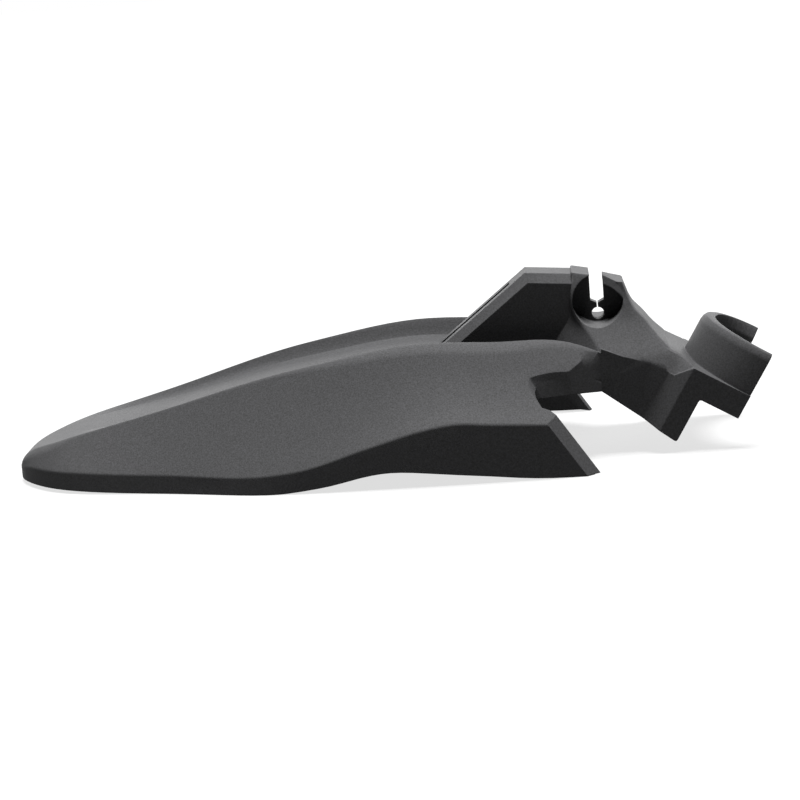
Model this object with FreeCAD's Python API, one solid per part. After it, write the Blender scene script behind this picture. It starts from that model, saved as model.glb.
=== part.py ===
"""Front mudguard: one moulded plastic shell.

A long beak with two ridges and a turned-down lip widens into a pair of flanks.
A hollow gusset climbs out of the valley between the ridges to a hose guide, and
behind that a bracket carries a half collar that clips round the steering stem.

Lengths are in millimetres. S is the station behind the nose tip, Y is across and
Z is up from the surface on which the lip and the flank heels stand. Widths are
half widths, because the part is symmetric about the plane Y = 0.
"""
import FreeCAD
import Part

import math
import os

Vector = FreeCAD.Vector

NODE = "mudguard"

# Shell
WALL = 2.6

# Beak and flanks, seen from above
TIP_S = 6.2
NOSE_S = 27.0
NOSE_HALF = 33.0
FLARE_S = 138.0
FLARE_HALF = 62.0
FLANK_S = 190.0
FLANK_HALF = 65.0

# Ridges, their outer lands and the valley between them
RIDGE_NOSE_HALF = 21.2
RIDGE_MID_HALF = 30.8
RIDGE_REAR_HALF = 29.0
RIDGE_TIP_Z = 4.6
RIDGE_NOSE_Z = 23.4
RIDGE_MID_Z = 54.6
RIDGE_CREST_S = 208.0
RIDGE_CREST_Z = 63.0
RIDGE_END_S = 294.0
RIDGE_END_Z = 52.5
RIDGE_TAIL = 8.0
RIDGE_TAIL_DROP = 4.2
LAND_WIDTH = 7.4
LAND_SLOPE = 29.0
VALLEY_START_S = 36.0
VALLEY_DEPTH = 10.0
VALLEY_WALL = 3.9
VALLEY_ROUND = 6.0
RIDGE_ROUND = 3.0
LAND_ROUND = 7.0
LAND_START_S = 95.0
LAND_START = 0.8
DOME_WIDTH = 6.0

# Side faces, lip and skirts
LIP_HEIGHT = 9.1
FLANK_EDGE_S = 223.0
FLANK_EDGE_Z = 29.8
FLANK_EDGE_DROP = 5.0
EDGE_BEND = 14.0
SIDE_HOLLOW = 5.2
EDGE_ROUND = 2.0
NOSE_LIFT = 2.0
STEP_S = 152.0
STEP_LENGTH = 36.0
SKIRT_LIFT = 7.6
HEEL_S = 268.0
HEEL_LENGTH = 18.0

# Slanted rear end of the flanks, the fork notches and the neck between them
REAR_S = 287.4
REAR_RAKE = 57.1
FACET_LENGTH = 6.3
FACET_TURN = 4.5
FACET_FOOT_Z = 0.2
NOTCH_Z = 44.0
NOTCH_HALF = 46.6
NOTCH_ROUND = 5.0
NECK_SHOULDER_HALF = 41.2
NECK_SHOULDER = 24.8
NECK_HALF = 29.4
NECK_LENGTH = 40.0
NECK_SIDE_Z = 34.0

# Gusset between valley and hose guide
GUSSET_HALF = 12.4
GUSSET_CHAMFER = 4.2
GUSSET_CREST_S = 262.5
GUSSET_CREST_Z = 88.6
GUSSET_RAMP = 37.7
GUSSET_FALL = 5.2
GUSSET_SLOT_WIDTH = 5.0
GUSSET_SLOT_LENGTH = 36.0
GUSSET_SLOT_END = 8.0

# Hose guide
GUIDE_S = 297.0
GUIDE_Z = 73.4
GUIDE_FOOT_Z = 36.0
GUIDE_HEAD_Z = 90.0
GUIDE_TOP_Z = 87.4
GUIDE_TOP_SLOPE = 25.0
GUIDE_ROUND = 3.0
POCKET_RADIUS = 12.4
POCKET_WEB = 5.0
SLIT_WIDTH = 6.6
HOSE_RADIUS = 3.0
HOSE_DROP = 8.4
TOOTH_GAP = 1.4
TOOTH_HEIGHT = 3.2
TOOTH_SLOPE = 1.5

# Bracket and half collar, in the leaning frame of the steering stem
STEM_LEAN = 31.0
STEM_S = 360.1
STEM_Z = 14.8
COLLAR_BORE = 27.0
COLLAR_WALL = 6.0
COLLAR_HEIGHT = 35.3
COLLAR_ROUND = 3.2
DECK_HEIGHT = 12.4
DECK_LENGTH = 30.5
DECK_LEDGE = 1.0
DIP_HEIGHT = 4.6
DIP_LENGTH = 6.2
LEG_REAR = 20.8
LEG_DEPTH = 23.7
LEG_FRONT = 63.8
LEG_TOE = 10.0
LEG_FRONT_DEPTH = 18.5
LEG_ROUND = 1.2
BRACKET_HALF = 30.0
BRACKET_WAIST = 29.0
WAIST_ROUND = 8.0
SADDLE_HALF = 25.2
SADDLE_ROUND = 4.0
SADDLE_RISE = 1.4

# Room that a cutting tool runs past the part
CLEAR = 20.0


def between(start, end, share):
    """Value at a share of the way from start to end."""
    return start + (end - start) * share


def rail(*points):
    """Smooth function through (station, value) points, level beyond them.

    It is smooth in the root of the station, which lets the nose end round.
    """
    points = sorted(points)
    xs = [math.sqrt(p[0]) for p in points]
    ys = [p[1] for p in points]
    last = len(xs) - 1
    steps = [(ys[i + 1] - ys[i]) / (xs[i + 1] - xs[i]) for i in range(last)]
    slopes = [steps[0]]
    for i in range(1, last):
        before = xs[i] - xs[i - 1]
        after = xs[i + 1] - xs[i]
        slopes.append((steps[i - 1] * after + steps[i] * before) / (before + after))
    slopes.append(steps[-1])

    def value(station):
        x = min(max(math.sqrt(station), xs[0]), xs[last])
        i = max(k for k in range(last) if xs[k] <= x)
        width = xs[i + 1] - xs[i]
        t = (x - xs[i]) / width
        rise = ys[i + 1] - ys[i]
        bend_in = slopes[i] * width - rise
        bend_out = rise - slopes[i + 1] * width
        return ys[i] + t * rise + t * (1 - t) * ((1 - t) * bend_in + t * bend_out)

    return value


plan_half = rail(
    (0.0, 0.0), (TIP_S * 0.65, NOSE_HALF * 0.36), (NOSE_S, NOSE_HALF),
    (between(NOSE_S, FLARE_S, 0.53), between(NOSE_HALF, FLARE_HALF, 0.53)), (FLARE_S, FLARE_HALF),
    (FLANK_S, FLANK_HALF), (RIDGE_END_S + CLEAR, FLANK_HALF))
ridge_half = rail(
    (NOSE_S * 0.4, RIDGE_NOSE_HALF - DOME_WIDTH / 2), (NOSE_S, RIDGE_NOSE_HALF),
    (between(NOSE_S, STEP_S, 0.4), between(RIDGE_NOSE_HALF, RIDGE_MID_HALF, 0.46)), (STEP_S, RIDGE_MID_HALF),
    (RIDGE_CREST_S, between(RIDGE_MID_HALF, RIDGE_REAR_HALF, 0.6)), (RIDGE_END_S, RIDGE_REAR_HALF))
ridge_z = rail(
    (0.0, RIDGE_TIP_Z), (TIP_S, between(RIDGE_TIP_Z, RIDGE_NOSE_Z, 0.57)), (NOSE_S, RIDGE_NOSE_Z),
    (between(NOSE_S, STEP_S, 0.4), between(RIDGE_NOSE_Z, RIDGE_MID_Z, 0.4)), (STEP_S, RIDGE_MID_Z),
    (RIDGE_CREST_S, RIDGE_CREST_Z),
    (between(RIDGE_CREST_S, RIDGE_END_S, 0.41), between(RIDGE_CREST_Z, RIDGE_END_Z, 0.16)),
    (between(RIDGE_CREST_S, RIDGE_END_S, 0.86), between(RIDGE_CREST_Z, RIDGE_END_Z, 0.51)),
    (RIDGE_END_S, RIDGE_END_Z), (RIDGE_END_S + RIDGE_TAIL, RIDGE_END_Z - RIDGE_TAIL_DROP))
valley_depth = rail(
    (VALLEY_START_S, 0.0), (between(VALLEY_START_S, RIDGE_CREST_S, 0.3), VALLEY_DEPTH * 0.4),
    (between(VALLEY_START_S, RIDGE_CREST_S, 0.65), VALLEY_DEPTH * 0.72), (RIDGE_CREST_S, VALLEY_DEPTH * 0.96),
    (GUSSET_CREST_S, VALLEY_DEPTH), (RIDGE_END_S, VALLEY_DEPTH / 2))
valley_half = rail(
    (TIP_S, RIDGE_NOSE_HALF * 0.45), (VALLEY_START_S, RIDGE_NOSE_HALF * 0.66),
    (2 * VALLEY_START_S, RIDGE_NOSE_HALF), (STEP_S, RIDGE_MID_HALF - VALLEY_WALL),
    (RIDGE_CREST_S, between(RIDGE_MID_HALF, RIDGE_REAR_HALF, 0.6) - VALLEY_WALL),
    (RIDGE_END_S, RIDGE_REAR_HALF - VALLEY_WALL))
land_width = rail(
    (NOSE_S * 0.25, DOME_WIDTH), (NOSE_S * 0.6, DOME_WIDTH * 0.8), (NOSE_S * 1.25, LAND_START * 1.5),
    (LAND_START_S * 0.5, LAND_START), (LAND_START_S, LAND_START), (STEP_S, LAND_WIDTH * 0.35),
    (FLANK_S, LAND_WIDTH * 0.9), (RIDGE_CREST_S, LAND_WIDTH), (GUSSET_CREST_S, LAND_WIDTH * 0.95),
    (RIDGE_END_S, LAND_WIDTH * 0.2))
edge_z = rail(
    (0.0, LIP_HEIGHT * 0.4), (TIP_S, LIP_HEIGHT * 1.03), (NOSE_S, LIP_HEIGHT * 1.16),
    (between(NOSE_S, STEP_S, 0.47), LIP_HEIGHT), (STEP_S - EDGE_BEND, LIP_HEIGHT * 1.04),
    (STEP_S, LIP_HEIGHT * 1.26), (between(STEP_S, FLANK_EDGE_S, 0.5), between(LIP_HEIGHT, FLANK_EDGE_Z, 0.61)),
    (FLANK_EDGE_S - EDGE_BEND * 0.36, FLANK_EDGE_Z * 0.973), (FLANK_EDGE_S + EDGE_BEND * 0.3, FLANK_EDGE_Z),
    (FLANK_EDGE_S + EDGE_BEND, FLANK_EDGE_Z * 0.973), (RIDGE_END_S, FLANK_EDGE_Z - FLANK_EDGE_DROP))
side_hollow = rail(
    (LAND_START_S, 0.0), (STEP_S, SIDE_HOLLOW * 0.45), (RIDGE_CREST_S, SIDE_HOLLOW),
    (RIDGE_END_S, SIDE_HOLLOW))
low_z = rail(
    (0.0, NOSE_LIFT), (NOSE_S * 1.1, NOSE_LIFT * 0.8), (FLARE_S * 0.5, NOSE_LIFT * 0.15),
    (FLARE_S * 0.8, NOSE_LIFT * 0.05), (STEP_S * 0.95, NOSE_LIFT * 0.25),
    (STEP_S + STEP_LENGTH / 3, SKIRT_LIFT * 0.4), (STEP_S + STEP_LENGTH, SKIRT_LIFT),
    (between(STEP_S + STEP_LENGTH, HEEL_S, 0.5), SKIRT_LIFT * 0.6),
    (HEEL_S, SKIRT_LIFT * 0.05), (HEEL_S + HEEL_LENGTH, 0.0), (HEEL_S + 2 * HEEL_LENGTH, 0.0))

STATIONS = [0.35, 1.2, 3.0, 5.5, 10.0, 16.0, 24.0, 34.0, 47.0, 66.0, 87.0, 107.0, 126.0, 140.0, 152.0, 165.0,
            178.0, 192.0, 206.0, 217.0, 227.0, 238.0, 252.0, 266.0, 280.0, 291.0, 300.0]
SOLID_NOSE = 4


def softened(corners, rounds):
    """Open outline of (point, pulls) pairs along corners, from the rounding of each inner corner.

    A point that pulls isn't on the outline: it bends the curve between its neighbours. A rounding
    is two short chords, one of None makes the corner a point that pulls, and 0 keeps it sharp.
    """
    out = [(corners[0], False)]
    for before, corner, after, radius in zip(corners, corners[1:], corners[2:], rounds):
        if radius is None:
            out.append((corner, True))
            continue
        if radius == 0:
            out.append((corner, False))
            continue
        size_in = math.dist(before, corner)
        size_out = math.dist(corner, after)
        turn = (math.atan2(after[1] - corner[1], after[0] - corner[0])
                - math.atan2(corner[1] - before[1], corner[0] - before[0]))
        reach = min(max(radius * abs(math.tan(turn / 2)), 0.3), 0.42 * size_in, 0.42 * size_out)
        start = [between(c, b, reach / size_in) for b, c in zip(before, corner)]
        end = [between(c, a, reach / size_out) for a, c in zip(after, corner)]
        middle = [(p + 2 * c + q) / 4 for p, c, q in zip(start, corner, end)]
        out += sharp([tuple(start), tuple(middle), tuple(end)])
    return out + [(corners[-1], False)]


def mirrored(outline):
    """Half outline that starts at Y = 0, after its mirror image."""
    return [((-y, z), pulls) for (y, z), pulls in reversed(outline[1:])] + outline


def sharp(points):
    """Outline of points that all lie on it."""
    return [(point, False) for point in points]


def runs(loop):
    """Pole lists of the lines and curves that make up a closed loop."""
    closed = loop + loop[:1]
    found = []
    for item, pulls in closed:
        if found:
            found[-1].append(item)
        if not pulls:
            found.append([item])
    return found[:-1]


def flat_face(loop):
    """Flat face inside a closed loop of (vector, pulls) pairs."""
    edges = []
    for poles in runs(loop):
        curve = Part.BezierCurve()
        curve.setPoles(poles)
        edges.append(curve.toShape())
    return Part.Face(Part.Wire(edges))


def strip(rails):
    """Face from the first to the last of its rails, bent towards one between them."""
    first = rails[0]
    order = len(rails)
    poles = [list(across) for across in zip(*(curve.getPoles() for curve in rails))]
    surface = Part.BSplineSurface()
    surface.buildFromPolesMultsKnots(
        poles, first.getMultiplicities(), [order, order], first.getKnots(), [0.0, 1.0],
        False, False, first.Degree, order - 1)
    return surface.toShape()


def skinned(loops):
    """Closed solid whose faces run smoothly through matching points of the loops."""
    count = len(loops[0])
    at = [0.0]
    for before, after in zip(loops, loops[1:]):
        at.append(at[-1] + sum(p.distanceToPoint(q) for (p, _), (q, _) in zip(before, after)) / count)
    rails = []
    for column in zip(*loops):
        curve = Part.BSplineCurve()
        curve.interpolate(Points=[point for point, _ in column], Parameters=at)
        rails.append((curve, column[0][1]))
    faces = [strip(group) for group in runs(rails)]
    faces += [flat_face(loops[0]), flat_face(loops[-1])]
    skin = Part.makeShell(faces)
    skin.sewShape()
    solid = Part.Solid(skin)
    if solid.Volume < 0:
        solid.reverse()
    return solid


def half_corners(s):
    """Corners of the outer half section from the valley's middle to the lower edge."""
    half = plan_half(s)
    taper = min(1.0, half / NOSE_HALF) ** 0.85 if s < NOSE_S else 1.0
    ridge = (ridge_half(s) * taper, ridge_z(s))
    land = land_width(s) * taper
    floor = ridge_z(s) - valley_depth(s)
    outer = (ridge[0] + land, ridge[1] - land * math.tan(math.radians(LAND_SLOPE)))
    edge = (half, edge_z(s))
    hollow = (between(outer[0], edge[0], 0.5), between(outer[1], edge[1], 0.5) - side_hollow(s))
    return [(0.0, floor), (valley_half(s) * taper, floor), ridge, outer, hollow, edge, (half, low_z(s))]


def inner_outline(s, inset, lift):
    """Half section moved inwards by the inset, without the land, its lower edge moved up by the lift."""
    corners = half_corners(s)
    kept = corners[:3] + corners[4:]
    lines = []
    for (y0, z0), (y1, z1) in zip(kept, kept[1:]):
        size = math.hypot(y1 - y0, z1 - z0)
        dy = (y1 - y0) / size
        dz = (z1 - z0) / size
        lines.append((y0 + dz * inset, z0 - dy * inset, dy, dz))
    moved = [(0.0, lines[0][1])]
    for before, after in zip(lines, lines[1:]):
        cross = before[2] * after[3] - before[3] * after[2]
        if abs(cross) < 1e-3:
            moved.append((after[0], after[1]))
            continue
        along = ((after[0] - before[0]) * after[3] - (after[1] - before[1]) * after[2]) / cross
        moved.append((before[0] + before[2] * along, before[1] + before[3] * along))
    moved.append((lines[-1][0], kept[-1][1] + lift))
    return softened(moved, [VALLEY_ROUND, 0, None, 0])


def section(s, wall):
    """Closed loop of the shell's section at a station; without a wall it is solid."""
    loop = mirrored(softened(half_corners(s), [VALLEY_ROUND, RIDGE_ROUND, LAND_ROUND, None, EDGE_ROUND]))
    if wall > 0:
        loop += list(reversed(mirrored(inner_outline(s, wall, 0.0))))
    return [(Vector(s, y, z), pulls) for (y, z), pulls in loop]


def nose():
    """Solid tip of the beak."""
    return skinned([section(s, 0.0) for s in STATIONS[:SOLID_NOSE]])


def shell():
    """Thin wall of beak and flanks behind the solid tip, where the wall starts thicker."""
    stations = STATIONS[SOLID_NOSE - 1:]
    return skinned([section(s, WALL * (1.0 + 0.5 * math.exp(-s / 8.0))) for s in stations])


def beak_core():
    """Solid form of the rear half of beak and flanks up to the middle of its wall."""
    loops = []
    for s in STATIONS:
        if s > FLANK_S:
            outline = mirrored(inner_outline(s, WALL / 2, -WALL))
            loops.append([(Vector(s, y, z), pulls) for (y, z), pulls in outline])
    return skinned(loops)


def side_prism(outline, half):
    """Solid with a side view of ((station, height), pulls) pairs, symmetric about Y = 0."""
    loop = [(Vector(s, -half, z), pulls) for (s, z), pulls in outline]
    return flat_face(loop).extrude(Vector(0, 2 * half, 0))


def both_sides(shape):
    """A shape and its mirror image across Y = 0."""
    return [shape, shape.mirror(Vector(0, 0, 0), Vector(0, 1, 0))]


RAKE_SLOPE = 1.0 / math.tan(math.radians(REAR_RAKE))
NOTCH_S = REAR_S - RAKE_SLOPE * NOTCH_Z


def raked_prism(outline, bottom, top):
    """Solid with a plan of ((station, y), pulls) pairs at the notch's height, swept along the rake."""
    reach = top - bottom
    shift = RAKE_SLOPE * (top - NOTCH_Z)
    loop = [(Vector(s - shift, y, top), pulls) for (s, y), pulls in outline]
    return flat_face(loop).extrude(Vector(RAKE_SLOPE * reach, 0, -reach))


def facet_outline():
    """The turned-in rear end of a flank: outer start, outer end, inner end, inner start."""
    size = math.hypot(FACET_LENGTH, FACET_TURN)
    back = (-FACET_TURN / size * WALL, -FACET_LENGTH / size * WALL)
    start = (NOTCH_S - WALL / 2, FLANK_HALF)
    end = (start[0] + FACET_LENGTH, start[1] - FACET_TURN)
    return [start, end, (end[0] + back[0], end[1] + back[1]), (start[0] + back[0], start[1] + back[1])]


def neck_line(inset):
    """Side line of the neck from the flank to the bracket, moved inwards by the inset."""
    turn = (NOTCH_HALF - NECK_SHOULDER_HALF) / NECK_SHOULDER
    bend = turn * NOTCH_ROUND
    corners = [(NOTCH_S - 2 * NOTCH_ROUND, NOTCH_HALF + bend), (NOTCH_S + NOTCH_ROUND, NOTCH_HALF - bend),
               (NOTCH_S + NECK_SHOULDER, NECK_SHOULDER_HALF), (NOTCH_S + NECK_LENGTH, NECK_HALF)]
    return softened([(s, y - inset) for s, y in corners], [NOTCH_ROUND, NOTCH_ROUND])


def notch():
    """Space between a flank and the neck, open to the rear."""
    start, end, inner_end = facet_outline()[:3]
    far = STEM_S
    wide = FLANK_HALF + CLEAR
    corner = [(NOTCH_S, NOTCH_HALF + NOTCH_ROUND), (NOTCH_S, NOTCH_HALF), neck_line(0.0)[2][0]]
    flank_side = [(NOTCH_S, inner_end[1] - WALL / 2), inner_end, end, start, (start[0], wide), (far, wide),
                  (far, NECK_HALF)]
    neck_side = neck_line(0.0)[4:]
    return raked_prism(softened(corner, [None]) + neck_side + sharp(flank_side[::-1]), -CLEAR, 4 * CLEAR)


def facet():
    """The flank's rear flange, before it is trimmed to the flank's outer form."""
    return raked_prism(sharp(facet_outline()), FACET_FOOT_Z, RIDGE_CREST_Z)


def neck_flange():
    """Turned-down side wall of the neck, before it is trimmed to the beak's outer form."""
    loop = neck_line(0.0) + neck_line(WALL)[::-1]
    return raked_prism(loop, NECK_SIDE_Z, RIDGE_CREST_Z)


def floor_z(s):
    """Height of the valley floor at a station."""
    return ridge_z(s) - valley_depth(s)


def gusset_outline(inset):
    """Side view of the gusset, moved inwards by the inset."""
    ramp = math.tan(math.radians(GUSSET_RAMP))
    fall = math.tan(math.radians(GUSSET_FALL))
    drop = inset / math.cos(math.radians(GUSSET_RAMP))
    crest_shift = (drop - inset) / (ramp + fall)
    crest_s = GUSSET_CREST_S + crest_shift
    crest_z = GUSSET_CREST_Z - inset - crest_shift * fall
    if inset > 0:
        rear = GUIDE_S - POCKET_RADIUS - 2 * inset
        foot_z = NECK_SIDE_Z
        under = [(rear, foot_z)]
    else:
        rear = GUIDE_S - SLIT_WIDTH
        foot_z = floor_z(RIDGE_CREST_S) - WALL / 2
        under = [(s, floor_z(s) - WALL / 2) for s in (rear, between(RIDGE_CREST_S, rear, 0.5))]
    foot_s = crest_s - (crest_z - foot_z) / ramp
    return [(foot_s, foot_z), (crest_s, crest_z), (rear, crest_z - (rear - crest_s) * fall)] + under


def gusset(inset):
    """Gusset with chamfered upper edges."""
    solid = side_prism(sharp(gusset_outline(inset)), GUSSET_HALF - inset)
    edges = []
    for edge in solid.Edges:
        start, end = [vertex.Point for vertex in edge.Vertexes]
        lengthwise = abs(start.y - end.y) < 0.1 and abs(start.x - end.x) > 0.1
        upper = max(start.z, end.z) > GUSSET_CREST_Z - 3 * WALL
        if lengthwise and upper and min(start.x, end.x) < GUSSET_CREST_S + WALL:
            edges.append(edge)
    return solid.makeChamfer(GUSSET_CHAMFER - 0.4 * inset, edges)


def gusset_slot():
    """Slot along the gusset's ramp."""
    start = GUSSET_CREST_S - GUSSET_SLOT_END - GUSSET_SLOT_LENGTH
    low = Vector(start, -GUSSET_SLOT_WIDTH / 2, floor_z(start) + 1.0)
    return Part.makeBox(GUSSET_SLOT_LENGTH, GUSSET_SLOT_WIDTH, GUSSET_CREST_Z, low)


# Hose guide block: where its front, its front corners and its rear corners lie at each height
guide_front = rail((36.0, -25.5), (56.0, -20.9), (64.0, -16.4), (76.0, -14.0), (90.0, -11.6))
guide_front_half = rail((36.0, 13.0), (64.0, 11.4), (90.0, 6.0))
guide_corner = rail(
    (36.0, 2.7), (51.0, -0.5), (59.0, -5.0), (65.0, -9.4), (71.0, -12.6), (78.0, -13.2), (90.0, -11.4))
guide_corner_half = rail(
    (36.0, 39.0), (47.0, 33.0), (55.0, 26.0), (64.0, 19.0), (71.0, 16.2), (78.0, 14.6), (90.0, 9.6))
guide_rear = rail(
    (36.0, 33.2), (46.0, 35.0), (52.0, 30.6), (58.0, 25.6), (64.0, 21.4), (69.0, 17.0), (76.0, 13.0),
    (90.0, 10.0))
guide_rear_half = rail(
    (36.0, 31.0), (40.0, 27.7), (47.0, 24.2), (58.0, 17.0), (64.0, 13.8), (71.0, 12.0), (90.0, 8.4))


def guide_section(z, inset, rounding):
    """Level section of the hose guide's block at a height, moved inwards by the inset."""
    front = GUIDE_S + guide_front(z) + inset
    rear = GUIDE_S + guide_rear(z) - 1.3 * inset
    corners = [(0.0, front), (guide_front_half(z) - 0.4 * inset, front),
               (guide_corner_half(z) - 1.2 * inset, GUIDE_S + guide_corner(z) + 0.5 * inset),
               (guide_rear_half(z) - 1.2 * inset, rear), (0.0, rear)]
    return mirrored(softened(corners, [0, rounding, rounding]))[1:]


def guide_block():
    """Flared block of the hose guide with its sloping top."""
    loops = []
    for share in range(11):
        z = between(GUIDE_FOOT_Z, GUIDE_HEAD_Z, share / 10)
        loops.append([(Vector(s, y, z), pulls) for (y, s), pulls in guide_section(z, 0.0, GUIDE_ROUND)])
    lobe = GUIDE_S - SLIT_WIDTH / 2
    far = STEM_S - lobe
    drop = far * math.tan(math.radians(GUIDE_TOP_SLOPE))
    top = [(lobe - far, GUIDE_TOP_Z), (lobe, GUIDE_TOP_Z), (lobe + far, GUIDE_TOP_Z - drop),
           (lobe + far, GUIDE_TOP_Z + CLEAR), (lobe - far, GUIDE_TOP_Z + CLEAR)]
    return skinned(loops).cut(side_prism(sharp(top), 2 * CLEAR))


def guide_cavity():
    """Hollow under the hose guide, open downwards."""
    top = GUIDE_Z - POCKET_RADIUS - WALL
    limit = BRACKET_WAIST - WALL
    loops = []
    for z in (GUIDE_FOOT_Z - WALL, between(GUIDE_FOOT_Z, top, 0.5), top):
        loop = guide_section(max(z, GUIDE_FOOT_Z), WALL, 0)
        loops.append([(Vector(s, max(-limit, min(limit, y)), z), pulls) for (y, s), pulls in loop])
    return skinned(loops)


def hose_passage():
    """Round pockets from both sides, and the slit between them that takes the hose from above."""
    across = Vector(0, 1, 0)
    centre = Vector(GUIDE_S, POCKET_WEB / 2, GUIDE_Z)
    pocket = Part.makeCylinder(POCKET_RADIUS, 2 * CLEAR, centre, across)
    seat_z = GUIDE_Z - HOSE_DROP
    seat = Part.makeCylinder(HOSE_RADIUS, 2 * CLEAR, Vector(GUIDE_S, -CLEAR, seat_z), across)
    half = SLIT_WIDTH / 2
    gap = TOOTH_GAP / 2
    tooth_top = seat_z + HOSE_RADIUS - 1.0 + TOOTH_HEIGHT
    slit_foot = tooth_top + TOOTH_SLOPE
    top = GUIDE_TOP_Z + CLEAR
    slit = [(-gap, seat_z), (-gap, tooth_top), (-half, slit_foot), (-half, top), (half, top),
            (half, slit_foot), (gap, tooth_top), (gap, seat_z)]
    return both_sides(pocket) + [seat, side_prism(sharp([(GUIDE_S + x, z) for x, z in slit]), CLEAR)]


def on_stem(shape):
    """Place a shape from the stem's own frame, whose Z runs up the steering axis."""
    shape.rotate(Vector(0, 0, 0), Vector(0, 1, 0), STEM_LEAN)
    shape.translate(Vector(STEM_S, 0, STEM_Z))
    return shape


def stem_cylinder(radius):
    """Cylinder along the whole steering axis."""
    return on_stem(Part.makeCylinder(radius, 8 * CLEAR, Vector(0, 0, -4 * CLEAR)))


def collar():
    """Half ring round the stem with a rounded upper rim, before it is bored."""
    outer = COLLAR_BORE + COLLAR_WALL
    rim = min(COLLAR_ROUND, 0.8 * COLLAR_WALL)
    inner = COLLAR_BORE - COLLAR_WALL
    profile = [(inner, 0.0), (outer, 0.0)]
    for angle in (0, 30, 60, 90):
        turn = math.radians(angle)
        profile.append((outer - rim + rim * math.cos(turn), COLLAR_HEIGHT - rim + rim * math.sin(turn)))
    profile.append((inner, COLLAR_HEIGHT))
    loop = [(Vector(0, radius, height), False) for radius, height in profile]
    return on_stem(flat_face(loop).revolve(Vector(0, 0, 0), Vector(0, 0, 1), 180))


def leg_outline():
    """Side view of the bracket in the stem's frame, with the deck that carries the collar."""
    corners = [(0.0, 0.0), (-LEG_REAR, 0.0), (-LEG_REAR, -LEG_DEPTH), (-LEG_FRONT, -LEG_FRONT_DEPTH),
               (-LEG_FRONT - LEG_TOE, 0.0), (-DECK_LENGTH - DIP_LENGTH, DIP_HEIGHT),
               (-DECK_LENGTH, DECK_HEIGHT), (0.0, DECK_HEIGHT)]
    return softened(corners, [LEG_ROUND, LEG_ROUND, 0, 0, 0, LEG_ROUND])


def saddle():
    """Crowned ramp from the hose guide down to the deck, in the stem's frame."""
    dip = -DECK_LENGTH - DIP_LENGTH
    fall = (DECK_HEIGHT - DIP_HEIGHT) / (BRACKET_WAIST - SADDLE_HALF)
    edge = COLLAR_BORE + COLLAR_WALL - WALL / 2
    rows = [(dip - 2 * DIP_LENGTH, SADDLE_HALF - SADDLE_ROUND, SADDLE_RISE),
            (dip - DIP_LENGTH, SADDLE_HALF - SADDLE_ROUND / 4, SADDLE_RISE), (dip, SADDLE_HALF, SADDLE_RISE),
            (-DECK_LENGTH - WALL / 2, between(SADDLE_HALF, edge, 0.75), SADDLE_RISE / 2),
            (-DECK_LENGTH + WALL, edge, -WALL / 6)]
    loops = []
    for x, crown, rise in rows:
        top = DECK_HEIGHT + rise
        foot = (crown + DIP_LENGTH, top - DIP_LENGTH * fall)
        corners = [(0.0, top), (crown, top), foot, (crown, -DECK_HEIGHT)]
        half = softened(corners, [SADDLE_ROUND, 0])
        loops.append([(Vector(x, y, z), pulls) for (y, z), pulls in mirrored(half)])
    return skinned(loops)


def rear_limits():
    """Side limits of guide and bracket, with a soft waist ahead of the deck, in the stem's frame."""
    deck_half = COLLAR_BORE + COLLAR_WALL + DECK_LEDGE
    waist = -DECK_LENGTH - DIP_LENGTH - WALL
    corners = [(0.0, -8 * CLEAR), (BRACKET_HALF, -8 * CLEAR), (BRACKET_HALF, -LEG_FRONT - LEG_TOE),
               (BRACKET_WAIST, waist), (deck_half, -DECK_LENGTH), (deck_half, 4 * CLEAR), (0.0, 4 * CLEAR)]
    outline = mirrored(softened(corners, [0, 0, WAIST_ROUND, LEG_ROUND, 0]))[1:]
    loop = [(Vector(x, y, -4 * CLEAR), pulls) for (y, x), pulls in outline]
    return on_stem(flat_face(loop).extrude(Vector(0, 0, 8 * CLEAR)))


def bracket_cavity():
    """Hollow of the bracket, open downwards, that leaves a wall round the stem."""
    inner = BRACKET_WAIST - WALL
    roof = DIP_HEIGHT - WALL
    front = -LEG_FRONT - 3 * LEG_TOE
    outline = [(front, -9 * WALL), (-LEG_FRONT - LEG_TOE / 2, -2 * WALL), (-DECK_LENGTH - DIP_LENGTH, roof),
               (-LEG_REAR - WALL, roof), (-LEG_REAR - WALL, -3 * CLEAR), (front, -3 * CLEAR)]
    return on_stem(side_prism(sharp(outline), inner)).cut(stem_cylinder(COLLAR_BORE + 0.7 * COLLAR_WALL))


def rear_body():
    """Hose guide, bracket and collar as one solid, before hollowing."""
    wide = COLLAR_BORE + COLLAR_WALL + CLEAR
    leg = on_stem(side_prism(leg_outline(), wide).fuse(saddle()))
    blocks = guide_block().fuse(leg).common(rear_limits())
    return blocks.fuse(collar()).cut(stem_cylinder(COLLAR_BORE))


def mudguard():
    """The whole moulding."""
    core = beak_core()
    beak = shell().fuse(nose()).cut(Part.makeCompound(both_sides(notch())))
    flanges = [core.common(part) for part in both_sides(facet()) + both_sides(neck_flange())]
    body = beak.multiFuse(flanges + [gusset(0.0), rear_body()])
    return body.cut([gusset(WALL), guide_cavity(), bracket_cavity(), gusset_slot()] + hose_passage())


def main():
    """Build the part, set its origin under its middle and write it."""
    shape = mudguard()
    box = shape.optimalBoundingBox()
    shape.translate(Vector(-box.Center.x, 0, -box.ZMin))
    os.makedirs("parts", exist_ok=True)
    shape.exportStep("parts/" + NODE + ".step")
    print("solids", len(shape.Solids), "valid", shape.isValid(), "faces", len(shape.Faces))
    print("box", shape.optimalBoundingBox(), "volume", round(shape.Volume))
    print("middle", box.Center.x, "low", box.ZMin)


if __name__ == "__main__":
    main()
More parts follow.
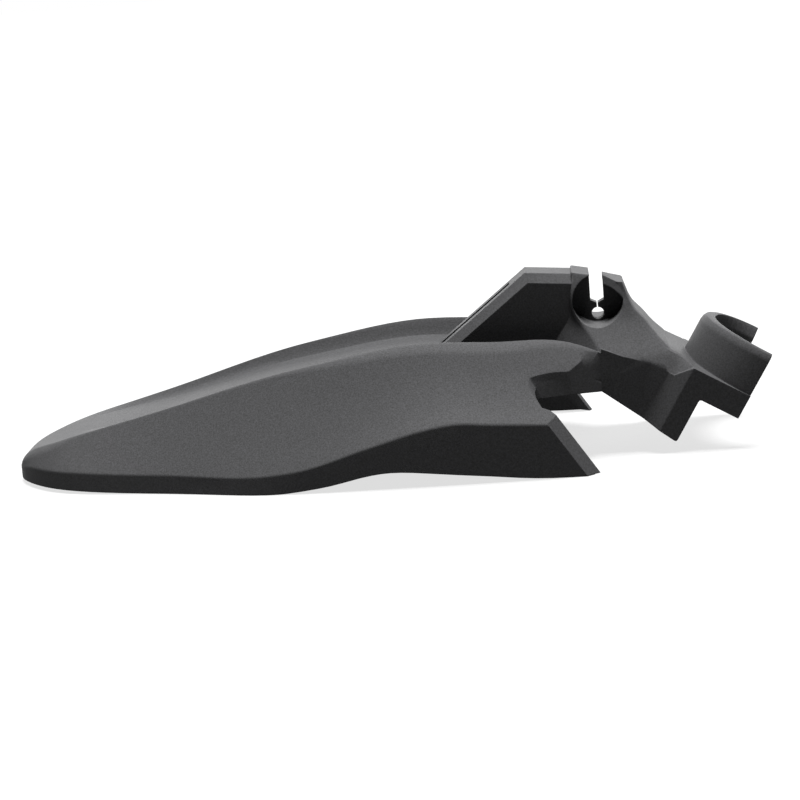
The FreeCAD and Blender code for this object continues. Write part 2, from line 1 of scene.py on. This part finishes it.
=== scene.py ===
"""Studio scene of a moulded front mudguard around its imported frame.

The mudguard is one piece of grained polypropylene. This script joins the triangles of
the frame's node into one skin, so that its rounds shade smoothly and its creases stay
crisp. It trims that skin where the real moulding is finer than the solid: at the neck's
walls, the beak's lip, the head of the hose guide and the collar's rim. Then it dresses
the skin in its plastic and sets up the floor, the light and the camera.
"""
import logging
import math
from dataclasses import dataclass, field
from enum import Enum

import bmesh
import bpy
from mathutils import Matrix, Vector

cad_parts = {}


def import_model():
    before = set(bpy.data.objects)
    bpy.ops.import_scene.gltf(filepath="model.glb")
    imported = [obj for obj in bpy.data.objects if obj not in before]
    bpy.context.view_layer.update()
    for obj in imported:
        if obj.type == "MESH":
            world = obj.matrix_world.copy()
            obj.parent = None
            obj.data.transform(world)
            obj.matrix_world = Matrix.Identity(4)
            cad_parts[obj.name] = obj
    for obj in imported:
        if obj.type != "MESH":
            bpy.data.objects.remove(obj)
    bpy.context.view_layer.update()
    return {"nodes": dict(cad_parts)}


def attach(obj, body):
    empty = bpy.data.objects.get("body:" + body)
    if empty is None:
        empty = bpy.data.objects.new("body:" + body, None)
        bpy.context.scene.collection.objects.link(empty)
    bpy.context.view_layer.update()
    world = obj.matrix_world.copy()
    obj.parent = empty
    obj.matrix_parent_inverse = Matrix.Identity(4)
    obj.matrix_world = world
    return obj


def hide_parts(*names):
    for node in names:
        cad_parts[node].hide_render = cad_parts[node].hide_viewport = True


MM = 0.001

# How far a vertex may lie from a form's end, and from its face, to count as part of it
END_MM = 0.1
FACE_MM = 0.2

log = logging.getLogger("mudguard_scene")


class Node(Enum):
    """Names of the frame's nodes."""

    GUARD = "mudguard"


def linear(hex_colour: str) -> tuple[float, float, float, float]:
    """Turn an sRGB hex colour into linear values with full opacity.

    Args:
        hex_colour: six hex digits after a number sign.

    Returns:
        The linear red, green, blue and alpha.
    """
    values = []
    for start in (1, 3, 5):
        share = int(hex_colour[start:start + 2], 16) / 255
        values.append(share / 12.92 if share <= 0.04045 else ((share + 0.055) / 1.055) ** 2.4)
    return (values[0], values[1], values[2], 1.0)


def add_node(tree: bpy.types.NodeTree, kind: str, settings: dict, links: dict) -> bpy.types.Node:
    """Add a node with its settings and the links into its inputs.

    Args:
        tree: the node tree that gets the node.
        kind: Blender's name for the node's type.
        settings: node attributes and input values, by name or by input number.
        links: output sockets by the name or number of the input they feed.

    Returns:
        The new node.
    """
    node = tree.nodes.new(kind)
    for name, value in settings.items():
        if isinstance(name, str) and hasattr(node, name):
            setattr(node, name, value)
        else:
            node.inputs[name].default_value = value
    for name, socket in links.items():
        tree.links.new(socket, node.inputs[name])
    return node


def direction(azimuth: float, elevation: float) -> Vector:
    """Unit vector from the moulding towards a point round it.

    Args:
        azimuth: degrees round from straight across, towards the collar.
        elevation: degrees above the horizon.

    Returns:
        The vector.
    """
    turn = math.radians(azimuth)
    rise = math.radians(elevation)
    return Vector((math.sin(turn) * math.cos(rise), -math.cos(turn) * math.cos(rise), math.sin(rise)))


@dataclass(frozen=True)
class GrainedPolypropylene:
    """Polypropylene filled with carbon black, moulded in a spark-eroded tool.

    The tool leaves a fine sand-like grain, so the surface is matte and breaks the light
    into small grey specks, with a faint sheen at a low angle.

    Attributes:
        dark: colour in the grain's pits.
        light: colour on the grain's tips.
        contrast: shares of the grain's height at which the two colours are reached.
        roughness: mean roughness of the surface.
        roughness_swing: how far the roughness strays from its mean.
        ior: refractive index of polypropylene.
        gloss: how much of a smooth face's mirror image the grain leaves; 0.5 is all of it.
        grain_mm: width of a grain. A real one is about a third of this, too fine to show.
        grain_depth_mm: height of the grain that the bump draws.
        grain_strength: share of that height that shows.
        grain_detail: how many finer layers the grain has, and how strong each is.
        mottle_mm: width of the soft patches where the flow of the melt shows.
        mottle_detail: the same for the patches.
        edge_round_mm: radius of the soft edges that every moulding has.
        edge_samples: rays that the shading of those edges takes.
    """

    dark: str = "#202020"
    light: str = "#2c2c2d"
    contrast: tuple[float, float] = (0.3, 0.7)
    roughness: float = 0.55
    roughness_swing: float = 0.05
    ior: float = 1.49
    gloss: float = 0.03
    grain_mm: float = 0.7
    grain_depth_mm: float = 0.10
    grain_strength: float = 0.45
    grain_detail: tuple[float, float] = (3.0, 0.6)
    mottle_mm: float = 22.0
    mottle_detail: tuple[float, float] = (2.0, 0.5)
    edge_round_mm: float = 0.8
    edge_samples: int = 6

    def material(self) -> bpy.types.Material:
        """Build the plastic's material from procedural noise on object coordinates.

        Returns:
            The material.
        """
        made = bpy.data.materials.new("grained_polypropylene")
        made.use_nodes = True
        tree = made.node_tree
        tree.nodes.clear()
        place = add_node(tree, "ShaderNodeTexCoord", {}, {}).outputs["Object"]
        layers, strength = self.grain_detail
        grain = add_node(
            tree, "ShaderNodeTexNoise",
            {"Scale": 1.0 / (self.grain_mm * MM), "Detail": layers, "Roughness": strength},
            {"Vector": place})
        layers, strength = self.mottle_detail
        mottle = add_node(
            tree, "ShaderNodeTexNoise",
            {"Scale": 1.0 / (self.mottle_mm * MM), "Detail": layers, "Roughness": strength},
            {"Vector": place})
        colour = add_node(tree, "ShaderNodeValToRGB", {}, {"Fac": grain.outputs["Fac"]})
        stops = zip(colour.color_ramp.elements, self.contrast, (self.dark, self.light))
        for stop, position, shade in stops:
            stop.position = position
            stop.color = linear(shade)
        smoothest = self.roughness - self.roughness_swing
        roughest = self.roughness + self.roughness_swing
        rough = add_node(
            tree, "ShaderNodeMapRange", {"To Min": smoothest, "To Max": roughest},
            {"Value": mottle.outputs["Fac"]})
        soft = add_node(
            tree, "ShaderNodeBevel", {"samples": self.edge_samples, "Radius": self.edge_round_mm * MM}, {})
        bump = add_node(
            tree, "ShaderNodeBump", {"Strength": self.grain_strength, "Distance": self.grain_depth_mm * MM},
            {"Height": grain.outputs["Fac"], "Normal": soft.outputs["Normal"]})
        shader = add_node(
            tree, "ShaderNodeBsdfPrincipled", {"IOR": self.ior, "Specular IOR Level": self.gloss},
            {"Base Color": colour.outputs["Color"], "Roughness": rough.outputs["Result"],
             "Normal": bump.outputs["Normal"]})
        add_node(tree, "ShaderNodeOutputMaterial", {}, {"Surface": shader.outputs["BSDF"]})
        return made


def share_between(start: float, end: float, value: float) -> float:
    """How far a value lies on its way from start to end, from 0 to 1."""
    return min(1.0, max(0.0, (value - start) / (end - start)))


@dataclass(frozen=True)
class NeckWall:
    """Side wall of the neck, which stands upright and meets the bracket in an upright crease.

    Attributes:
        top_mm: height at which the wall starts to turn down.
        foot_mm: height just below its lower edge.
        lean: how far the solid's wall runs back for each millimetre down.
        start_mm: where the wall starts, along the moulding.
        shoulder_mm: half width at which the wall is wholly upright.
        corner_mm: half width at which it leaves the flank, still leaning.
        bracket_mm: half width of the bracket's face.
        meet_mm: where the wall meets the bracket, along the moulding.
        end_mm: where the solid's wall ends.
        wall_mm: thickness of the wall.
        inner: shares of that thickness between which the inner face's vertices lie at the wall's end.
        edge_mm: height of the band in which its lower edge lies.
        seat_mm: depth inside the bracket's face from which vertices move with the wall.
        bracket_foot_mm: height of the bracket's lower corner, at which the wall's lower edge ends.
        rim_mm: two points of the line in which the neck's top meets the bracket, along the moulding and up.
        hollow_mm: how far the solid's top dips below that line.
        hollow_start_mm: how far behind the line's first point the dip starts.
        hollow_width_mm: how far the dip reaches to either side of the bracket's face.
        crease_rise: rise of the wall's normals at most, and of the top's normals at least.
    """

    top_mm: float = 49.0
    foot_mm: float = 33.9
    lean: float = 0.647
    start_mm: float = 70.0
    shoulder_mm: float = 43.5
    corner_mm: float = 46.5
    bracket_mm: float = 29.97
    meet_mm: float = 106.8
    end_mm: float = 110.68
    wall_mm: float = 2.6
    inner: tuple[float, float] = (0.2, 0.9)
    edge_mm: float = 0.5
    seat_mm: float = 0.3
    bracket_foot_mm: float = 31.95
    rim_mm: tuple[tuple[float, float], tuple[float, float]] = ((104.2, 52.48), (107.29, 50.95))
    hollow_mm: float = 3.2
    hollow_start_mm: float = 1.5
    hollow_width_mm: float = 0.6
    crease_rise: tuple[float, float] = (0.2, 0.35)

    def close_corner(self, shape: bmesh.types.BMesh) -> None:
        """Fill the small hollow beside the bracket's corner up to the line of the neck's top.

        Args:
            shape: the joined mesh of the moulding.
        """
        (start, high), (end, low) = self.rim_mm
        for vertex in shape.verts:
            x, y, z = vertex.co / MM
            line = high + (x - start) * (low - high) / (end - start)
            beside = abs(abs(y) - self.bracket_mm) < self.hollow_width_mm
            along = start + self.hollow_start_mm < x < end + FACE_MM
            if beside and along and line - self.hollow_mm < z < line:
                vertex.co.z = line * MM

    def straighten(self, shape: bmesh.types.BMesh) -> None:
        """Stand the leaning walls of both sides upright.

        Args:
            shape: the joined mesh of the moulding.
        """
        for vertex in shape.verts:
            x, y, z = vertex.co / MM
            half = abs(y)
            if not (self.start_mm < x < self.end_mm + END_MM and self.foot_mm < z < self.top_mm):
                continue
            beside = half < self.bracket_mm + 2 * self.wall_mm and z < self.top_mm - self.wall_mm
            if x > self.end_mm - END_MM and beside:
                depth = (half - self.bracket_mm) / self.wall_mm
                within = self.inner[0] < depth < self.inner[1]
                moved = self.bracket_mm - self.wall_mm if within else self.bracket_mm
                low = self.bracket_foot_mm if z < self.foot_mm + self.edge_mm else z
                vertex.co = Vector((self.meet_mm, math.copysign(moved, y), low)) * MM
            elif half > self.bracket_mm + FACE_MM:
                share = share_between(self.corner_mm, self.shoulder_mm, half)
                vertex.co.x -= self.lean * (self.top_mm - z) * share * MM
            elif half > self.bracket_mm - self.seat_mm and x > self.meet_mm:
                vertex.co.x = self.meet_mm * MM

    def crease(self, shape: bmesh.types.BMesh) -> None:
        """Keep the edge crisp along which the neck's top turns down into its walls.

        Args:
            shape: the joined mesh of the moulding.
        """
        for edge in shape.edges:
            x, y, z = (edge.verts[0].co + edge.verts[1].co) / 2 / MM
            near = self.start_mm < x < self.end_mm and self.bracket_mm < abs(y) < self.corner_mm
            if near and z > self.foot_mm + self.wall_mm and len(edge.link_faces) == 2:
                lower, upper = sorted(face.normal.z for face in edge.link_faces)
                if lower < self.crease_rise[0] and upper > self.crease_rise[1]:
                    edge.smooth = False


@dataclass(frozen=True)
class Lip:
    """Turned-down lip of the beak, which opens a little towards its lower edge.

    Attributes:
        height_mm: height below which its lower edge lies.
        draft_mm: how far the lower edge stands out.
        tip_mm: half width from which it stands out fully.
        end_mm: where the draft has run out, along the moulding.
        fade_mm: length over which it runs out.
    """

    height_mm: float = 4.0
    draft_mm: float = 0.8
    tip_mm: float = 15.0
    end_mm: float = -35.0
    fade_mm: float = 30.0

    def open(self, shape: bmesh.types.BMesh) -> None:
        """Move the lip's lower edges outwards.

        Args:
            shape: the joined mesh of the moulding.
        """
        for vertex in shape.verts:
            x, y, z = vertex.co / MM
            if z < self.height_mm and x < self.end_mm:
                side = share_between(0.0, self.tip_mm, abs(y))
                ahead = share_between(0.0, self.fade_mm, self.end_mm - x)
                vertex.co.y += math.copysign(self.draft_mm * side * ahead, y) * MM


@dataclass(frozen=True)
class HoseGuide:
    """Head of the hose guide: a pocket with a thick wall and a brow behind it, a slit and two teeth.

    Attributes:
        axis_mm: the pocket's axis, along the moulding and up.
        pocket_mm: the pocket's radius.
        behind: share of that radius behind the axis at which the wall behind the pocket starts.
        skin_mm: how far outside the pocket's face a vertex lies that moves with that wall.
        wall_mm: what the wall behind the pocket gains.
        rise_mm: heights between which it gains that.
        lobe_mm: where the lobe ahead of the slit starts, along the moulding.
        top_mm: height above which the lobe's top lies.
        fall: how far the lobe's top falls for each millimetre back.
        teeth_mm: heights between which the two teeth over the hose seat face each other.
        teeth_half_mm: half the gap between the solid's teeth, with a little to spare.
        teeth_share: share of that gap that is left.
        web_mm: half the thickness of the web, less a little, so that the brow sits in it.
        brow_mm: corners of the brow over the pocket's rear half: along the moulding, half width and height.
    """

    axis_mm: tuple[float, float] = (107.685, 73.496)
    pocket_mm: float = 12.4
    behind: float = 0.8
    skin_mm: float = 0.05
    wall_mm: float = 1.5
    rise_mm: tuple[float, float] = (68.0, 76.0)
    lobe_mm: float = 96.0
    top_mm: float = 86.8
    fall: float = 0.2
    teeth_mm: tuple[float, float] = (67.9, 70.4)
    teeth_half_mm: float = 0.75
    teeth_share: float = 0.4
    web_mm: float = 2.4
    brow_mm: tuple[tuple[float, float, float], ...] = (
        (110.98, 4.6, 84.3), (117.1, 9.7, 81.6), (118.9, 9.95, 79.3), (120.0, 10.8, 75.2),
        (120.0, 11.6, 73.2), (118.2, 10.6, 75.6), (115.0, 9.2, 78.4), (110.98, 8.0, 80.4))

    def trim(self, shape: bmesh.types.BMesh) -> None:
        """Thicken the wall behind the pocket, let the lobe's top fall and bring the teeth closer.

        Args:
            shape: the joined mesh of the moulding.
        """
        for vertex in shape.verts:
            x, _, z = vertex.co / MM
            back = x - self.axis_mm[0]
            outside = math.hypot(back, z - self.axis_mm[1]) > self.pocket_mm + self.skin_mm
            if back > self.behind * self.pocket_mm and z > self.rise_mm[0] and outside:
                vertex.co.x += self.wall_mm * share_between(*self.rise_mm, z) * MM
            elif z > self.top_mm and self.lobe_mm < x < self.axis_mm[0]:
                vertex.co.z -= self.fall * (x - self.lobe_mm) * MM
            elif self.teeth_mm[0] < z < self.teeth_mm[1] and abs(back) < self.teeth_half_mm:
                vertex.co.x = (self.axis_mm[0] + back * self.teeth_share) * MM

    def close_top(self, shape: bmesh.types.BMesh) -> None:
        """Close the pocket's rear half at its top with a sloping brow on both sides of the web.

        Args:
            shape: the joined mesh of the moulding.
        """
        for side in (-1, 1):
            rim = [shape.verts.new(Vector((x, side * half, z)) * MM) for x, half, z in self.brow_mm]
            face = shape.faces.new(rim)
            made = bmesh.ops.extrude_face_region(shape, geom=[face])["geom"]
            for part in made:
                if isinstance(part, bmesh.types.BMVert):
                    part.co.y = side * self.web_mm * MM
            caps = [part for part in made if isinstance(part, bmesh.types.BMFace)]
            walls = [near for corner in rim for near in corner.link_faces]
            bmesh.ops.recalc_face_normals(shape, faces=list(dict.fromkeys(caps + walls)))


@dataclass(frozen=True)
class StemCollar:
    """Half collar with a rounded rim and a mouth that opens upwards.

    Attributes:
        foot_mm: point on the stem's axis, from which heights are measured.
        lean: degrees by which the axis leans back.
        bore_mm: radius of the bore.
        outer_mm: outer radius.
        height_mm: height of the rim.
        round_mm: radius of the solid's rim.
        rim_width_mm: width of the shown rim's round.
        rim_height_mm: its height.
        drop_mm: how far the shown rim lies below the solid's, at the arms and at the front.
        front: sine of the turn from straight ahead, below which the rim is the front's.
        mouth_mm: radius of the mouth at the rim of the arms. At the front the bore stays as it is.
        mouth_depth_mm: how deep the mouth goes.
        mouth_rows: rows of faces round the mouth.
        mouth_power: how the mouth rolls, from 0.5 for a round one to 1 for a cone.
        cut_mm: distance within which a vertex counts as on a cut.
    """

    foot_mm: tuple[float, float, float] = (170.785, 0.0, 14.896)
    lean: float = 31.0
    bore_mm: float = 27.0
    outer_mm: float = 33.0
    height_mm: float = 35.3
    round_mm: float = 3.2
    rim_width_mm: float = 2.6
    rim_height_mm: float = 4.4
    drop_mm: tuple[float, float] = (0.6, 1.4)
    front: float = 0.35
    mouth_mm: float = 30.2
    mouth_depth_mm: float = 7.0
    mouth_rows: int = 5
    mouth_power: float = 0.75
    cut_mm: float = 0.0001

    def axis(self) -> Vector:
        """Unit vector up the stem's axis."""
        turn = math.radians(self.lean)
        return Vector((math.sin(turn), 0.0, math.cos(turn)))

    def place(self, point: Vector) -> tuple[float, Vector]:
        """Height and reach of a point in the stem's frame, in millimetres.

        Args:
            point: the point in metres.

        Returns:
            Its height along the axis and its offset from the axis.
        """
        offset = point / MM - Vector(self.foot_mm)
        height = offset.dot(self.axis())
        return height, offset - self.axis() * height

    def cut_bore(self, shape: bmesh.types.BMesh, level: float) -> None:
        """Cut the bore's faces along a ring.

        Args:
            shape: the joined mesh of the moulding.
            level: the ring's height along the stem's axis, in millimetres.
        """
        parts = {}
        for face in shape.faces:
            reaches = [self.place(vertex.co)[1].length for vertex in face.verts]
            if all(abs(reach - self.bore_mm) < FACE_MM for reach in reaches):
                parts.update(dict.fromkeys([face, *face.edges, *face.verts]))
        ring = (Vector(self.foot_mm) + self.axis() * level) * MM
        bmesh.ops.bisect_plane(
            shape, geom=list(parts), dist=self.cut_mm * MM, plane_co=ring, plane_no=self.axis())

    def shape_rim(self, shape: bmesh.types.BMesh) -> None:
        """Roll the bore's mouth outwards and round the rim.

        Args:
            shape: the joined mesh of the moulding.
        """
        floor = self.height_mm - self.mouth_depth_mm
        for row in range(self.mouth_rows):
            left = (1 - row / self.mouth_rows) ** (1 / self.mouth_power)
            self.cut_bore(shape, self.height_mm - self.mouth_depth_mm * left)
        at_arm, at_front = self.drop_mm
        for vertex in shape.verts:
            height, reach = self.place(vertex.co)
            size = reach.length
            arm = share_between(self.front, 1.0, abs(reach.y) / max(size, self.round_mm))
            drop = at_front + (at_arm - at_front) * arm
            rounded = height > self.height_mm - self.round_mm - END_MM
            if abs(size - self.bore_mm) < FACE_MM and height > floor:
                left = share_between(self.height_mm, floor, height)
                wide = self.bore_mm + (self.mouth_mm - self.bore_mm) * (1 - left ** self.mouth_power) * arm
                high = height - drop * (1 - left)
            elif rounded and self.bore_mm < size < self.outer_mm + END_MM:
                wide = self.outer_mm - (self.outer_mm - size) * self.rim_width_mm / self.round_mm
                high = self.height_mm - (self.height_mm - height) * self.rim_height_mm / self.round_mm - drop
            else:
                continue
            vertex.co = (Vector(self.foot_mm) + self.axis() * high + reach * (wide / size)) * MM


@dataclass
class Mudguard:
    """The moulding itself, made from the frame's only node.

    Attributes:
        finish: the plastic that it is moulded in.
        neck: its neck's side walls.
        lip: the beak's lip.
        guide: the head of its hose guide.
        collar: its half collar.
        crease_degrees: angle above which an edge keeps its crease.
        weld_mm: distance within which the node's loose triangles are joined.
    """

    finish: GrainedPolypropylene = field(default_factory=GrainedPolypropylene)
    neck: NeckWall = field(default_factory=NeckWall)
    lip: Lip = field(default_factory=Lip)
    guide: HoseGuide = field(default_factory=HoseGuide)
    collar: StemCollar = field(default_factory=StemCollar)
    crease_degrees: float = 32.0
    weld_mm: float = 0.002

    def mesh(self, solid: bpy.types.Object) -> bpy.types.Mesh:
        """Join the solid's triangles into one trimmed skin with smooth rounds and kept creases.

        Args:
            solid: the frame's object of the moulding.

        Returns:
            The mesh of the skin.
        """
        shape = bmesh.new()
        shape.from_mesh(solid.data)
        bmesh.ops.remove_doubles(shape, verts=shape.verts, dist=self.weld_mm * MM)
        self.neck.close_corner(shape)
        self.neck.straighten(shape)
        self.lip.open(shape)
        self.guide.trim(shape)
        self.guide.close_top(shape)
        self.collar.shape_rim(shape)
        shape.normal_update()
        crease = math.radians(self.crease_degrees)
        for face in shape.faces:
            face.smooth = True
        for edge in shape.edges:
            edge.smooth = edge.calc_face_angle(math.pi) < crease
        self.neck.crease(shape)
        skin = bpy.data.meshes.new("moulded_shell")
        shape.to_mesh(skin)
        shape.free()
        return skin

    def build(self, solid: bpy.types.Object) -> bpy.types.Object:
        """Make the shown moulding and let it stand for the frame's solid.

        Args:
            solid: the frame's object of the moulding.

        Returns:
            The shown object.
        """
        skin = self.mesh(solid)
        skin.materials.append(self.finish.material())
        shown = bpy.data.objects.new("moulded_shell", skin)
        bpy.context.scene.collection.objects.link(shown)
        even = shown.modifiers.new("flat_faces_stay_flat", "WEIGHTED_NORMAL")
        even.keep_sharp = True
        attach(shown, "root")
        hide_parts(Node.GUARD.value)
        log.info("moulded %s with %d faces", shown.name, len(skin.polygons))
        return shown


@dataclass
class Overhead:
    """Broad soft light from above that reaches the whole floor evenly and leaves no highlight.

    Attributes:
        azimuth: degrees round from straight across, towards the collar, where it stands.
        elevation: degrees above the horizon.
        spread: degrees across its face, seen from the moulding.
        strength: light that it gives, in watts per square metre.
    """

    azimuth: float = 120.0
    elevation: float = 85.0
    spread: float = 24.0
    strength: float = 28.0

    def build(self) -> None:
        """Add the light to the scene."""
        lamp = bpy.data.lights.new("overhead", "SUN")
        lamp.energy = self.strength
        lamp.angle = math.radians(self.spread)
        shown = bpy.data.objects.new("overhead", lamp)
        shown.rotation_euler = direction(self.azimuth, self.elevation).to_track_quat("Z", "Y").to_euler()
        shown.visible_glossy = False
        bpy.context.scene.collection.objects.link(shown)


@dataclass
class Backdrop:
    """Bright white wall behind the moulding, which gives its level faces their sheen.

    Attributes:
        distance_mm: from the moulding to the wall.
        width_mm: width of the wall.
        height_mm: its height above the floor.
        power: light that it gives, in watts.
    """

    distance_mm: float = 2600.0
    width_mm: float = 7000.0
    height_mm: float = 1800.0
    power: float = 145.0

    def build(self) -> None:
        """Add the wall to the scene."""
        lamp = bpy.data.lights.new("backdrop", "AREA")
        lamp.shape = "RECTANGLE"
        lamp.size = self.width_mm * MM
        lamp.size_y = self.height_mm * MM
        lamp.energy = self.power
        shown = bpy.data.objects.new("backdrop", lamp)
        shown.location = Vector((0.0, self.distance_mm, self.height_mm / 2)) * MM
        shown.rotation_euler = Vector((0.0, 1.0, 0.0)).to_track_quat("Z", "Y").to_euler()
        shown.visible_camera = False
        bpy.context.scene.collection.objects.link(shown)


@dataclass
class PhotoCamera:
    """Camera at the photograph's viewing angle.

    Attributes:
        target_mm: the point in the middle of the picture.
        distance_mm: from that point to the lens.
        azimuth: degrees round from straight across, towards the collar.
        elevation: degrees above the horizon.
        roll: degrees by which the picture's rear end rises.
        lens_mm: focal length.
        sensor_mm: width of the sensor.
        clip_mm: nearest and farthest distance that it shows.
    """

    target_mm: tuple[float, float, float] = (6.4, 0.0, 27.3)
    distance_mm: float = 1028.0
    azimuth: float = 4.54
    elevation: float = 13.7
    roll: float = 5.0
    lens_mm: float = 92.25
    sensor_mm: float = 36.0
    clip_mm: tuple[float, float] = (50.0, 50000.0)

    def build(self) -> None:
        """Add the camera and make it the scene's own."""
        back = direction(self.azimuth, self.elevation)
        data = bpy.data.cameras.new("photo_camera")
        data.lens = self.lens_mm
        data.sensor_width = self.sensor_mm
        data.clip_start = self.clip_mm[0] * MM
        data.clip_end = self.clip_mm[1] * MM
        shown = bpy.data.objects.new("photo_camera", data)
        level = (-back).to_track_quat("-Z", "Y").to_matrix().to_4x4()
        place = Matrix.Translation((Vector(self.target_mm) + back * self.distance_mm) * MM)
        shown.matrix_world = place @ level @ Matrix.Rotation(math.radians(-self.roll), 4, "Z")
        bpy.context.scene.collection.objects.link(shown)
        bpy.context.scene.camera = shown


@dataclass
class Studio:
    """White table that is lit from below, and soft light.

    Attributes:
        floor_mm: side of the table.
        floor_colour: colour of its opal sheet, which lets most of the light through.
        floor_roughness: roughness of that sheet.
        floor_glow: light that comes up through it.
        sky_colour: colour of the light from all round and from below.
        sky_strength: how strong the light from all round is.
        seen_strength: how bright the room shows where the table ends.
        overhead: the main light.
        backdrop: the white wall behind the moulding.
    """

    floor_mm: float = 12000.0
    floor_colour: str = "#3c3c3c"
    floor_roughness: float = 0.95
    floor_glow: float = 0.72
    sky_colour: str = "#ffffff"
    sky_strength: float = 0.05
    seen_strength: float = 1.0
    overhead: Overhead = field(default_factory=Overhead)
    backdrop: Backdrop = field(default_factory=Backdrop)

    def floor(self) -> None:
        """Lay the table's sheet, on which the moulding stands."""
        mesh = bpy.data.meshes.new("floor")
        shape = bmesh.new()
        bmesh.ops.create_grid(shape, x_segments=1, y_segments=1, size=self.floor_mm * MM / 2)
        shape.to_mesh(mesh)
        shape.free()
        made = bpy.data.materials.new("opal_acrylic")
        made.use_nodes = True
        shader = made.node_tree.nodes["Principled BSDF"]
        shader.inputs["Base Color"].default_value = linear(self.floor_colour)
        shader.inputs["Roughness"].default_value = self.floor_roughness
        shader.inputs["Emission Color"].default_value = linear(self.sky_colour)
        shader.inputs["Emission Strength"].default_value = self.floor_glow
        mesh.materials.append(made)
        shown = bpy.data.objects.new("floor", mesh)
        bpy.context.scene.collection.objects.link(shown)

    def sky(self) -> None:
        """Light the scene faintly from all round, and show plain white beyond the table."""
        world = bpy.data.worlds.new("studio")
        world.use_nodes = True
        tree = world.node_tree
        tree.nodes.clear()
        seen = add_node(tree, "ShaderNodeLightPath", {}, {}).outputs["Is Camera Ray"]
        white = linear(self.sky_colour)
        dim = add_node(tree, "ShaderNodeBackground", {"Color": white, "Strength": self.sky_strength}, {})
        bright = add_node(tree, "ShaderNodeBackground", {"Color": white, "Strength": self.seen_strength}, {})
        both = add_node(tree, "ShaderNodeMixShader", {}, {0: seen, 1: dim.outputs[0], 2: bright.outputs[0]})
        add_node(tree, "ShaderNodeOutputWorld", {}, {"Surface": both.outputs[0]})
        bpy.context.scene.world = world

    def build(self) -> None:
        """Add floor, sky and lights, and show colours as they are."""
        self.floor()
        self.sky()
        self.overhead.build()
        self.backdrop.build()
        bpy.context.scene.view_settings.view_transform = "Standard"
        log.info("lit the table from above, behind and below")


def main() -> None:
    """Load the frame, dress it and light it."""
    logging.basicConfig(level=logging.INFO)
    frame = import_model()
    Mudguard().build(frame["nodes"][Node.GUARD.value])
    Studio().build()
    PhotoCamera().build()


if __name__ == "__main__":
    main()
